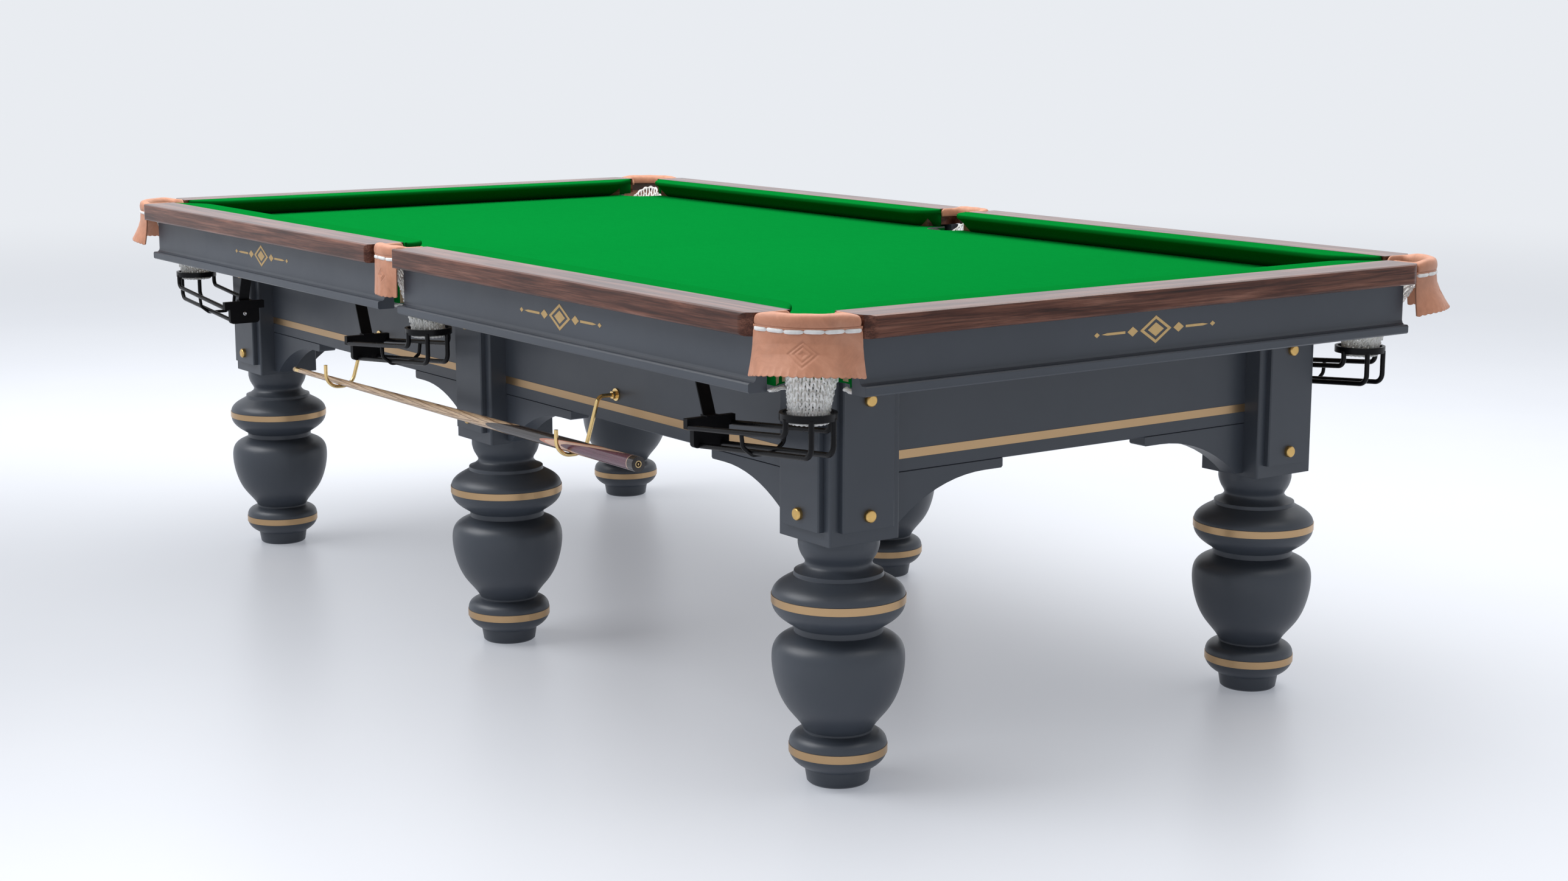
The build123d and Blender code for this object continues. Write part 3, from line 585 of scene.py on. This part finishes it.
def make_bed_cloth():
    """Cloth over the slates, rounded over their edges and down the liner's sides and the pocket cuts."""
    line = cloth_outline()
    edge = np.roll(line, -1, 0) - np.roll(line, 1, 0)
    edge /= np.linalg.norm(edge, axis=1, keepdims=True)
    out = np.stack([edge[:, 1], -edge[:, 0]], 1)
    outer_side = (np.abs(np.abs(line) - SLATE) < 0.5).any(axis=1)
    drop = np.where(outer_side, BED - LINER_LOW - 1, BED - LINER_LOW + 3)
    fall, rings = 4.0, []
    for k in range(6):
        a = k * math.pi / 10
        plan = line - out * fall * (1 - math.sin(a))
        rings.append(np.column_stack([plan, np.full(len(line), BED - fall * (1 - math.cos(a)))]))
    for share in (0.15, 0.4, 0.7, 1.0):
        ripple = 0.5 * np.sin(np.arange(len(line)) * 1.3) * share
        rings.append(np.column_stack([line + out * ripple[:, None], BED - fall - (drop - fall) * share]))
    count = len(line)
    faces = [tuple(f) for f in grid_faces(len(rings), count, close_columns=True)]
    made = piece("bed_cloth_sheet", np.concatenate(rings), faces + [tuple(range(count))[::-1]],
                 "bed_cloth", "bed_cloth", "bed_cloth")
    bm = bmesh.new()
    bm.from_mesh(made.data)
    top = [f for f in bm.faces if len(f.verts) > 4]
    bmesh.ops.triangulate(bm, faces=top)
    bmesh.ops.recalc_face_normals(bm, faces=bm.faces)
    bm.to_mesh(made.data)
    bm.free()
    thick = made.modifiers.new("thick", "SOLIDIFY")
    thick.thickness, thick.offset = 1.2 * MM, -1.0


# ---------------------------------------------------------------- cushions
def jaw_stations(r, turn, count=18):
    """Points (along, depth, along at the wood) round a cushion's end: an arc, then straight to the wood."""
    turn = math.radians(turn)
    straight = (RAIL_DEPTH - CAP_DEPTH - 2.5 - r * (1 - math.cos(turn))) / math.sin(turn)
    total, foot = r * turn + straight, r * math.sin(turn) + straight * math.cos(turn)
    stations = []
    for k in range(1, count + 1):
        run = total * k / count
        a, past = min(run / r, turn), max(0.0, run - r * turn)
        depth = RAIL_DEPTH - r * (1 - math.cos(a)) - past * math.sin(turn)
        stations.append((r * math.sin(a) + past * math.cos(turn), depth, (foot - 1) * (k / count) ** 1.5))
    return stations


def cushion_sections(x0, x1, left, right):
    """A cushion's stations along the front, as (x, distance in from the wood's edge, x at the wood)."""
    stations = [(x0 - along, t, x0 - back) for along, t, back in jaw_stations(*left)[::-1]]
    stations += [(x, RAIL_DEPTH, x) for x in np.linspace(x0, x1, 42)]
    return stations + [(x1 + along, t, x1 + back) for along, t, back in jaw_stations(*right)]


def cushion_mesh(span, left, right, subrail, wobble):
    """Cloth-covered rubber: each section runs round the flat top, the nose and the cut-back underside."""
    sections = []
    for k, (x, t, back_x) in enumerate(cushion_sections(*span, left, right)):
        nose, back = np.array([x, t]), np.array([back_x, CAP_DEPTH + 0.4])
        deep = np.linalg.norm(back - nose)
        way = (back - nose) / deep
        on_rail = subrail[0] - 1 < back_x < subrail[1] + 1 and t > SUBRAIL_IN + 4
        step = deep * (t - SUBRAIL_IN) / (t - CAP_DEPTH - 0.4) if on_rail else deep - 0.6
        under = min(31.6, deep * 0.75)
        step = max(step, under + 0.5)
        soft = 0.25 * math.sin(k * 1.9 + wobble) + 0.2 * math.sin(k * 0.7 + 2 * wobble)
        rows = [(deep, TOP - 0.9), (deep - 1.2, TOP - 0.2), (deep - 3, TOP), (deep * 0.5, TOP + 0.12 * soft),
                (min(6.0, deep * 0.4), TOP - 0.1), (min(3.2, deep * 0.3), TOP - 0.6), (1.2, TOP - 2.0),
                (0.3, TOP - 3.8), (0, TOP - 6 + soft * 0.3), (0.3, 831.8), (1.2, 830.2), (2.8, 828.6),
                (under * 0.35, 823.4), (under * 0.7, 811.4), (under, 800.4),
                (step, 800.4), (step, SUBRAIL_TOP if on_rail else 804.0),
                (deep - 0.1, SUBRAIL_TOP if on_rail else 806.0)]
        plan = [nose + way * d for d, z in rows]
        sections.append(np.array([(p[0], p[1], z) for p, (d, z) in zip(plan, rows)]))
    return loft(sections)


def make_cushions():
    side = cushion_mesh(SIDE_SPAN, MIDDLE_JAW, CORNER_JAW, SIDE_SUBRAIL, 0.3)
    end = cushion_mesh(END_SPAN, CORNER_JAW, CORNER_JAW, END_SUBRAIL, 1.1)
    for name, sx, sy in CORNERS:
        points, faces = side
        points = np.column_stack([points[:, 0], -EDGE[1] + points[:, 1], points[:, 2]])
        points, faces = mirrored(points, faces, sx, sy)
        made = piece(f"cushion_roll_{name}", points, faces, "cushion_cloth", "cushion_cloth",
                     f"cushion_{name}")
    for name, sx in (("right_end", 1), ("left_end", -1)):
        points, faces = end
        points = np.column_stack([sx * (EDGE[0] - points[:, 1]), sx * points[:, 0], points[:, 2]])
        made = piece(f"cushion_roll_{name}", points, faces, "cushion_cloth", "cushion_cloth",
                     f"cushion_{name}")


# ---------------------------------------------------------------- pocket leathers
PAD_LOW, PAD_TOP, PAD_WIDE = 822.0, 845.0, 24
FLAP_THICK, SCALLOP_PITCH, SCALLOP_DEEP, SEAM_Z = 3.4, 12.2, 2.6, 817.5
# Section of a padded roll: share of the way from its outer to its inner edge, and share of its height
PAD_SHAPE = ((0.10, 0.00), (0.02, 0.10), (0.0, 0.30), (0.01, 0.55), (0.07, 0.78), (0.18, 0.92),
             (0.34, 0.985), (0.52, 1.0), (0.70, 0.965), (0.86, 0.86), (0.96, 0.68), (1.0, 0.42),
             (0.97, 0.14), (0.88, 0.0))


def arc(r, high, count):
    """Points of an arc about the pocket's centre, from the middle of its leather to an angle in degrees."""
    a = np.radians(np.linspace(0, high, count))
    return np.stack([r * np.cos(a), r * np.sin(a)], 1)


def pad_edges(kind):
    """Outer and inner plan edge of half a padded roll, from its middle to the tip of its arm."""
    if kind == "corner":
        outer = arc(LEATHER_R, 50, 10), [(67.5, 85.0), (63.5, 82.2), (58, 76.9), (38, 57.4), (17, 36.4)]
        inner = arc(LEATHER_R - PAD_WIDE, 34, 7), [(63.5, 55), (53, 57), (44, 52), (33, 41.5), (22, 30.6)]
    else:
        outer = (arc(MIDDLE_LEATHER_R, 18, 5),
                 [(120.5, 48), (114, 51.6), (90, 52.3), (70, 52.3), (54.5, 52.3)])
        inner = (arc(MIDDLE_LEATHER_R - PAD_WIDE, 11, 4),
                 [(101, 31), (94, 38), (84, 42), (70, 43.6), (54.5, 44.2)])
    return curve_through(np.concatenate(outer), 37), curve_through(np.concatenate(inner), 37)


def pad_mesh(kind, place, origin):
    """Padded roll with its two arms, lower and flatter along the arms and rounded off at their tips."""
    outer, inner = pad_edges(kind)
    flip = np.array([1, -1])
    outer = np.concatenate([(outer[1:] * flip)[::-1], outer])
    inner = np.concatenate([(inner[1:] * flip)[::-1], inner])
    sections, count = [], len(outer)
    for k, (a, b) in enumerate(zip(outer, inner)):
        s = abs(2 * k / (count - 1) - 1)
        tip = 1 - max(0.0, (s - 0.93) / 0.07) ** 2 * 0.55
        arm = min(1.0, max(0.0, (s - 0.42) / 0.2))
        arm *= arm * (3 - 2 * arm)
        tall = (PAD_TOP - PAD_LOW - 3.8 * arm) * tip + 0.25 * math.sin(k * 0.55) * (1 - arm)
        middle = (a + b) / 2
        rows = []
        for across, rise in PAD_SHAPE:
            plan = a + (b - a) * across
            plan = middle + (plan - middle) * (1 - 0.25 * (1 - tip))
            rows.append((*plan, PAD_LOW + 0.3 + rise * (tall - 0.3)))
        rows = np.array(rows)
        plan = place(rows[:, 0], rows[:, 1], origin)
        sections.append(np.column_stack([plan, rows[:, 2]]))
    return loft(sections)


def press(along, down, size):
    """Depth of the pressed lozenge mark at a point along the flap and down it."""
    d = abs(along) / (1.15 * size) + abs(down - 38) / size
    rim = math.exp(-((d - 1.0) / 0.10) ** 2) + math.exp(-((d - 0.62) / 0.09) ** 2)
    core = 1 / (1 + math.exp((d - 0.26) / 0.03))
    return 1.3 * min(1.0, rim + core)


def flap_mesh(r, flare, half_angle, hem, place, origin, size):
    """Hanging flap: two close layers with a scalloped hem, gently waved towards its foot. hem is its height
    in the middle and how much lower it is at the sides."""
    across = np.linspace(-1, 1, 201)
    length = math.radians(half_angle) * (r + flare / 2) * 2
    spread = 0.015 if flare > 10 else 0.0
    scallops = round(length / SCALLOP_PITCH)
    layers = []
    for inside in (0.0, FLAP_THICK):
        rows = []
        for down in np.concatenate([np.linspace(0, 1, 60), [1.0]]):
            line = []
            for s in across:
                low = hem[0] - hem[1] * s * s
                z = PAD_LOW + 1.5 - down * (PAD_LOW + 1.5 - low)
                bell = np.interp(z - low, (0, 33, 49, 67), (1.0, 0.30, 0.07, 0.0))
                bell = bell * flare * (1 - 0.72 * s * s)
                scallop = abs(math.sin(math.pi * scallops * (s + 1) / 2)) ** 0.7
                z += (1 - scallop) * SCALLOP_DEEP * max(0.0, (down - 0.7) / 0.3) ** 2
                wave = (1.1 * math.sin(5.1 * s + 0.6) + 0.8 * math.sin(11.3 * s + 1.9)) * down ** 1.5
                seam = -1.6 * math.exp(-((z - SEAM_Z) / 3.0) ** 2)
                radius = r - 1.2 + bell + wave + seam - inside
                if not inside:
                    radius -= press(s * math.radians(half_angle) * r, PAD_LOW - z, size)
                turn = math.radians(half_angle) * s * (1 + spread * down)
                line.append((radius * math.cos(turn), radius * math.sin(turn), z))
            line = np.array(line)
            rows.append(np.column_stack([place(line[:, 0], line[:, 1], origin), line[:, 2]]))
        layers.append(rows)
    sections = layers[0][:-1] + layers[1][:-1][::-1]
    rows, columns = len(sections), len(across)
    faces = [tuple(f) for f in grid_faces(rows, columns, close_rows=True)]
    for side in (0, columns - 1):
        for k in range(rows // 2 - 1):
            quad = (k * columns + side, (k + 1) * columns + side,
                    (rows - 2 - k) * columns + side, (rows - 1 - k) * columns + side)
            faces.append(quad if side else quad[::-1])
    return np.concatenate(sections), faces


def lace_mesh(r, half_angle, stitches, place, origin):
    """Row of long flat stitches round the seam under the padded roll."""
    parts = []
    edges = np.linspace(-half_angle * 0.985, half_angle * 0.985, stitches + 1)
    for k, (a0, a1) in enumerate(zip(edges, edges[1:])):
        turn = np.radians(np.linspace(a0 + 0.12, a1 - 0.12, 15))
        s = np.linspace(-1, 1, 15)
        z = 817.6 + 0.5 * np.sin(2.3 * k) + 0.35 * s * (-1) ** k
        lift = 1.1 * (1 - s ** 4) - 1.4 * np.abs(s) ** 6
        radius = r - 2.2 + lift
        plan = place(radius * np.cos(turn), radius * np.sin(turn), origin)
        line = np.column_stack([plan, z])
        out = place((radius + 1) * np.cos(turn), (radius + 1) * np.sin(turn), origin) - plan
        width = 3.4 * (1 - 0.28 * np.abs(s) ** 7)
        parts.append(tube(line, np.column_stack([out, np.zeros(15)]), width, 8, False, 0.5))
    return joined(parts)


def make_leathers():
    """The six leathers: a padded roll, a hanging flap and the lace between them."""
    kinds = {
        "corner": (CORNERS, corner_place, LEATHER_CENTRE, LEATHER_R,
                   dict(flare=26.0, half=53.2, hem=(751.0, 10.0), stitches=6, mark=19.0)),
        "middle": (MIDDLES, middle_place, (0.0, MIDDLE_LEATHER_Y), MIDDLE_LEATHER_R,
                   dict(flare=4.0, half=21.5, hem=(742.0, 0.0), stitches=3, mark=13.0))}
    for kind, (places, place, origin, r, cut) in kinds.items():
        pad = pad_mesh(kind, place, origin)
        flap = flap_mesh(r, cut["flare"], cut["half"], cut["hem"], place, origin, cut["mark"])
        lace = lace_mesh(r, cut["half"], cut["stitches"], place, origin)
        for name, sx, sy in places:
            skin = ("leather", "pocket_leather", "pocket_leathers")
            roll = piece(f"leather_roll_{name}", *mirrored(*pad, sx, sy), *skin)
            sub = roll.modifiers.new("smooth", "SUBSURF")
            sub.levels = sub.render_levels = 1
            skirt = piece(f"leather_flap_{name}", *mirrored(*flap, sx, sy), *skin)
            thread = piece(f"leather_lace_{name}", *mirrored(*lace, sx, sy), "lace", "pocket_net")


# ---------------------------------------------------------------- pocket nets
NET_FOOT_R, NET_FOOT_Z = 31.5, 656.0
NET_MOUTH_Z, NET_SLOPE = 763.0, 48.0       # height of the mouth's middle, and its rise to the outer side
# Centres of the foot and the mouth, as (out, across), and half the mouth's length and width
NET_SHAPES = {"corner": ((-13.4, -12.7), (22.0, 0.0), 74.5, 44.0),
              "middle": ((-18.0, 0.0), (5.0, 0.0), 53.5, 40.0)}


def net_surface(kind, share, turn, jitter):
    """Points of the net's sleeve and their outward directions. share is 0 at the foot and 1 at the mouth."""
    foot, mouth, half_length, half_width = NET_SHAPES[kind]
    low = np.stack([foot[0] + NET_FOOT_R * np.cos(turn), foot[1] + NET_FOOT_R * np.sin(turn),
                    np.full_like(turn, NET_FOOT_Z)], -1)
    high = np.stack([mouth[0] + half_length * np.cos(turn), mouth[1] + half_width * np.sin(turn),
                     NET_MOUTH_Z + NET_SLOPE * np.cos(turn)], -1)
    plan_share = share ** 1.25 - 0.06 * np.sin(math.pi * share)
    points = low + (high - low) * np.stack([plan_share, plan_share, share], -1)
    out = np.stack([np.cos(turn), np.sin(turn), np.full_like(turn, -0.15)], -1)
    return points + out * jitter, out


def net_place(kind, points):
    if kind == "corner":
        plan = corner_place(points[:, 0], points[:, 1], CORNER_CUT)
    else:
        plan = middle_place(points[:, 0], points[:, 1], (0.0, MIDDLE_CUT_Y))
    return np.column_stack([plan, points[:, 2]])


def net_mesh(kind):
    """Knitted sleeve: rows of interlocking loops, a rolled hem at each end and yarn tacked under the bed."""
    rows, columns, steps, parts = 9, 18, 16, []
    rng = random.Random(7)
    for row in range(rows):
        t = np.arange(columns * steps) * 2 * math.pi / steps
        turn = (t + 0.85 * np.sin(2 * t)) / columns + 0.02 * math.sin(row * 2.1)
        share = (row + 0.5 + 0.80 * np.cos(t)) / rows
        slack = 0.9 * np.sin(turn * 3 + row) + rng.uniform(-0.3, 0.3)
        jitter = (1.3 * np.cos(2 * t) + slack * 0.6)[:, None]
        points, out = net_surface(kind, np.clip(share, 0.0, 1.02), turn, jitter)
        line = net_place(kind, points)
        ref = net_place(kind, points + out) - line
        parts.append(tube(line, ref, 1.9 + 0.2 * np.sin(3.7 * t + row), 5))
    for share, radius in ((0.0, 2.3), (1.0, 2.4)):
        turn = np.linspace(0, 2 * math.pi, 90, endpoint=False)
        points, out = net_surface(kind, np.full_like(turn, share), turn, 0.5 * np.sin(turn * 24)[:, None])
        line = net_place(kind, points)
        parts.append(tube(line, net_place(kind, points + out) - line, radius + 0.5 * np.sin(turn * 24), 6))
    lane = 57.0 if kind == "corner" else 53.0
    for sign in (-1, 1):
        for strand in range(3):
            s = np.linspace(0, 1, 60)
            out_way = 4 + 34 * s if kind == "corner" else 4 + 22 * s
            wiggle = 3.2 * np.sin(s * 46 + strand * 2.1) + 1.6 * np.sin(s * 91 + strand)
            points = np.stack([out_way + 1.5 * np.cos(s * 46), sign * (lane - 8 + 16 * s + wiggle),
                               714.6 - 1.4 * strand + 0.9 * np.sin(s * 37 + strand * 1.7)], -1)
            line = net_place(kind, points)
            parts.append(tube(line, np.tile((0.0, 0.0, 1.0), (60, 1)), 1.5, 5, False))
    return joined(parts)


def make_nets():
    for kind, places in (("corner", CORNERS), ("middle", MIDDLES)):
        knit = net_mesh(kind)
        for name, sx, sy in places:
            piece(f"net_{name}", *mirrored(*knit, sx, sy), "net", "pocket_net", "pocket_nets")


# ---------------------------------------------------------------- ornaments and screws
def plate(outline, out, at, thick=0.35):
    """Thin plate from a plan outline of (along, up), standing proud of a face."""
    along, normal = out
    origin = np.array(at, float)
    base = [origin + np.array(along) * a + np.array((0, 0, 1.0)) * b for a, b in outline]
    front = [p + np.array(normal) * thick for p in base]
    count = len(outline)
    faces = [tuple(range(count, 2 * count)), tuple(range(count))[::-1]]
    faces += [(k, (k + 1) % count, count + (k + 1) % count, count + k) for k in range(count)]
    return np.array(base + front), faces


def lozenge(cx, w, h):
    return [(cx - w, 0), (cx, -h), (cx + w, 0), (cx, h)]


def lozenge_ring(cx, w, h, edge):
    """Four bars round a lozenge."""
    k = edge * math.hypot(w, h) / (w * h)
    outer, inner = lozenge(cx, w, h), lozenge(cx, w * (1 - k), h * (1 - k))
    return [[outer[i], outer[(i + 1) % 4], inner[(i + 1) % 4], inner[i]] for i in range(4)]


def ornament_shapes():
    """A lozenge in a lozenge, and on each side of it a small one, a bar and a smaller one."""
    shapes = lozenge_ring(0, 37, 24, 5.0) + [lozenge(0, 19, 12)]
    for sign in (-1, 1):
        shapes.append(lozenge(sign * 54, 12.5, 8.5))
        bar = [(71, -2.2), (112, -2.2), (126, 0), (112, 2.2), (71, 2.2)]
        shapes.append([(sign * x, z) for x, z in bar][::sign])
        shapes.append(lozenge(sign * 136, 6.5, 4.5))
    return shapes


def make_ornaments():
    """Plain gold lozenge pattern in the middle of each apron."""
    face_y, face_x, z = EDGE[1] - APRON_IN, EDGE[0] - APRON_IN, 766.0
    spots = [(f"side_{n}", (sx * 650.5, -sy * face_y, z), (sy, 0, 0), (0, -sy, 0)) for n, sx, sy in CORNERS]
    spots += [("right_end", (face_x, 0, z), (0, 1, 0), (1, 0, 0)),
              ("left_end", (-face_x, 0, z), (0, -1, 0), (-1, 0, 0))]
    for name, at, along, normal in spots:
        parts = [plate(shape, (along, normal), at) for shape in ornament_shapes()]
        piece(f"apron_ornament_{name}", *joined(parts), "gold_print", "brass_strip", smooth=False)


def turned(profile, at, axis, sides=24):
    """Small part turned about an axis through at, from (radius, distance along the axis) pairs."""
    axis = np.array(axis, float)
    side = np.cross(axis, (0.0, 0.0, 1.0) if abs(axis[2]) < 0.9 else (1.0, 0.0, 0.0))
    side /= np.linalg.norm(side)
    other = np.cross(axis, side)
    a = np.arange(sides) * 2 * math.pi / sides
    around = side * np.cos(a)[:, None] + other * np.sin(a)[:, None]
    return loft([np.array(at) + around * r + axis * d for r, d in profile])


def make_screws():
    """A socket screw in the middle of each rack's stop plate."""
    head = [(4.6, 0.0), (4.8, 0.8), (4.5, 2.0), (3.4, 2.6), (2.1, 2.65), (2.0, 1.3), (0.05, 1.25)]
    spots = []
    for _, sx, sy in CORNERS:
        spots.append(((sx * (CORNER_RING[0] - STOP_AWAY), -sy * CORNER_RING[1], STOP_Z), (-sx, 0, 0)))
    for _, _, sy in MIDDLES:
        spots.append(((-STOP_AWAY, -sy * MIDDLE_RING_Y, STOP_Z), (-1, 0, 0)))
    piece("stop_screws", *joined([turned(head, at, axis) for at, axis in spots]), "screw", "foot_steel")


make_bed_cloth()
make_cushions()
make_leathers()
make_nets()
make_ornaments()
make_screws()


# ---------------------------------------------------------------- floor
def make_floor():
    mesh = bpy.data.meshes.new("studio_floor")
    rim = [(60 * math.cos(k * math.pi / 48), 60 * math.sin(k * math.pi / 48), 0.0) for k in range(96)]
    mesh.from_pydata(rim, [], [tuple(range(96))])
    mesh.materials.append(floor_look())
    floor = bpy.data.objects.new("studio_floor", mesh)
    bpy.context.scene.collection.objects.link(floor)


make_floor()
